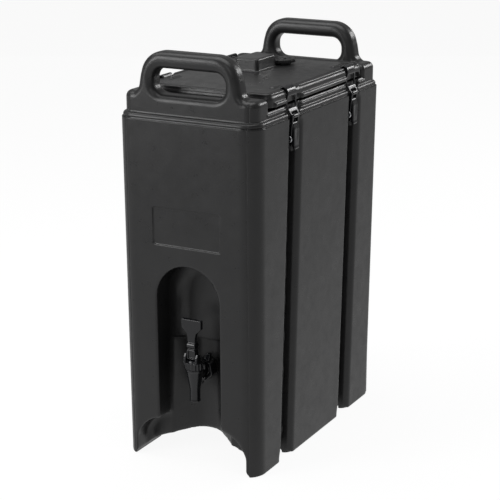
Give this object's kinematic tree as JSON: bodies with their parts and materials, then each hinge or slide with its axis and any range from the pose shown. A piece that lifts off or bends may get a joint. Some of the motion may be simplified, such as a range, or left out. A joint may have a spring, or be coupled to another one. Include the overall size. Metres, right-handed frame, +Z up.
{
  "type": "insulated beverage dispenser",
  "caption": "Tall insulated drink dispenser: moulded body with end handles, lift-off lid under side latches, vent cap, and a lever faucet in a front recess.",
  "frame": {"origin": "centre of the footprint, on the surface it stands on", "axes": "+Z up, +X to the right seen from the front, -Y towards the faucet side"},
  "size_m": [0.2348, 0.4187, 0.616],
  "materials": {
    "moulded_shell": "fine moulded texture, charcoal",
    "tank_liner": "smooth moulded",
    "foam": "rigid closed-cell foam",
    "gloss_black": "glossy moulded black",
    "seal_rubber": "soft matt rubber",
    "steel": "bright"
  },
  "bodies": {
    "body": {"body_shell": "moulded_shell", "foam_core": "foam", "inner_tank": "tank_liner", "faucet_body": "gloss_black", "faucet_bonnet": "gloss_black", "faucet_pivot_pin": "steel", "faucet_shank": "gloss_black", "faucet_wing_nut": "gloss_black", "faucet_seal_washer": "seal_rubber", "faucet_tank_washer": "seal_rubber", "faucet_tank_nut": "gloss_black", "latch_hinge_pin_right_front": "steel", "latch_hinge_pin_right_rear": "steel", "latch_hinge_pin_left_front": "steel", "latch_hinge_pin_left_rear": "steel"},
    "lid": {"lid_shell": "moulded_shell", "lid_liner": "tank_liner", "lid_foam": "foam", "lid_gasket": "seal_rubber", "vent_bushing": "gloss_black"},
    "vent": {"vent_cap": "moulded_shell", "vent_seal": "seal_rubber"},
    "faucet_handle": {"faucet_lever": "gloss_black"},
    "faucet_valve": {"faucet_stem": "gloss_black", "faucet_seat_cup": "seal_rubber"},
    "lever_right_front": {"latch_lever_right_front": "gloss_black", "latch_link_pin_right_front": "steel"},
    "hook_right_front": {"latch_hook_right_front": "gloss_black"},
    "lever_right_rear": {"latch_lever_right_rear": "gloss_black", "latch_link_pin_right_rear": "steel"},
    "hook_right_rear": {"latch_hook_right_rear": "gloss_black"},
    "lever_left_front": {"latch_lever_left_front": "gloss_black", "latch_link_pin_left_front": "steel"},
    "hook_left_front": {"latch_hook_left_front": "gloss_black"},
    "lever_left_rear": {"latch_lever_left_rear": "gloss_black", "latch_link_pin_left_rear": "steel"},
    "hook_left_rear": {"latch_hook_left_rear": "gloss_black"}
  },
  "joints": [
    {"name": "lid_lift", "type": "slide", "parent": "body", "child": "lid", "axis": [0, 0, 1], "range_m": [0, 0.05]},
    {"name": "vent_pull", "type": "slide", "parent": "lid", "child": "vent", "axis": [0, 0, 1], "range_m": [0, 0.01]},
    {"name": "faucet_tilt", "type": "hinge", "parent": "body", "child": "faucet_handle", "pos_m": [0, -0.193, 0.17], "axis": [1, 0, 0], "range_deg": [0, 25], "stiffness_Nm_per_rad": 0.25, "springref_deg": -20.05},
    {"name": "faucet_valve_lift", "type": "slide", "parent": "body", "child": "faucet_valve", "axis": [0, 0, 1], "range_m": [0, 0.003]},
    {"name": "latch_open_right_front", "type": "hinge", "parent": "body", "child": "lever_right_front", "pos_m": [0.107, -0.09, 0.511], "axis": [0, -1, 0], "range_deg": [0, 110]},
    {"name": "hook_swing_right_front", "type": "hinge", "parent": "lever_right_front", "child": "hook_right_front", "pos_m": [0.1095, -0.09, 0.488], "axis": [0, 1, 0], "range_deg": [0, 185]},
    {"name": "latch_open_right_rear", "type": "hinge", "parent": "body", "child": "lever_right_rear", "pos_m": [0.107, 0.111, 0.511], "axis": [0, -1, 0], "range_deg": [0, 110]},
    {"name": "hook_swing_right_rear", "type": "hinge", "parent": "lever_right_rear", "child": "hook_right_rear", "pos_m": [0.1095, 0.111, 0.488], "axis": [0, 1, 0], "range_deg": [0, 185]},
    {"name": "latch_open_left_front", "type": "hinge", "parent": "body", "child": "lever_left_front", "pos_m": [-0.107, -0.09, 0.511], "axis": [0, 1, 0], "range_deg": [0, 110]},
    {"name": "hook_swing_left_front", "type": "hinge", "parent": "lever_left_front", "child": "hook_left_front", "pos_m": [-0.1095, -0.09, 0.488], "axis": [0, -1, 0], "range_deg": [0, 185]},
    {"name": "latch_open_left_rear", "type": "hinge", "parent": "body", "child": "lever_left_rear", "pos_m": [-0.107, 0.111, 0.511], "axis": [0, 1, 0], "range_deg": [0, 110]},
    {"name": "hook_swing_left_rear", "type": "hinge", "parent": "lever_left_rear", "child": "hook_left_rear", "pos_m": [-0.1095, 0.111, 0.488], "axis": [0, -1, 0], "range_deg": [0, 185]}
  ],
  "couplings": [
    {"joint": "faucet_valve_lift", "follows": "faucet_tilt", "m_per_rad": 0.0068},
    {"joint": "latch_open_right_front", "follows": "lid_lift", "rad_per_m": 38.39},
    {"joint": "hook_swing_right_front", "follows": "lid_lift", "rad_per_m": 64.57},
    {"joint": "latch_open_right_rear", "follows": "lid_lift", "rad_per_m": 38.39},
    {"joint": "hook_swing_right_rear", "follows": "lid_lift", "rad_per_m": 64.57},
    {"joint": "latch_open_left_front", "follows": "lid_lift", "rad_per_m": 38.39},
    {"joint": "hook_swing_left_front", "follows": "lid_lift", "rad_per_m": 64.57},
    {"joint": "latch_open_left_rear", "follows": "lid_lift", "rad_per_m": 38.39},
    {"joint": "hook_swing_left_rear", "follows": "lid_lift", "rad_per_m": 64.57}
  ]
}
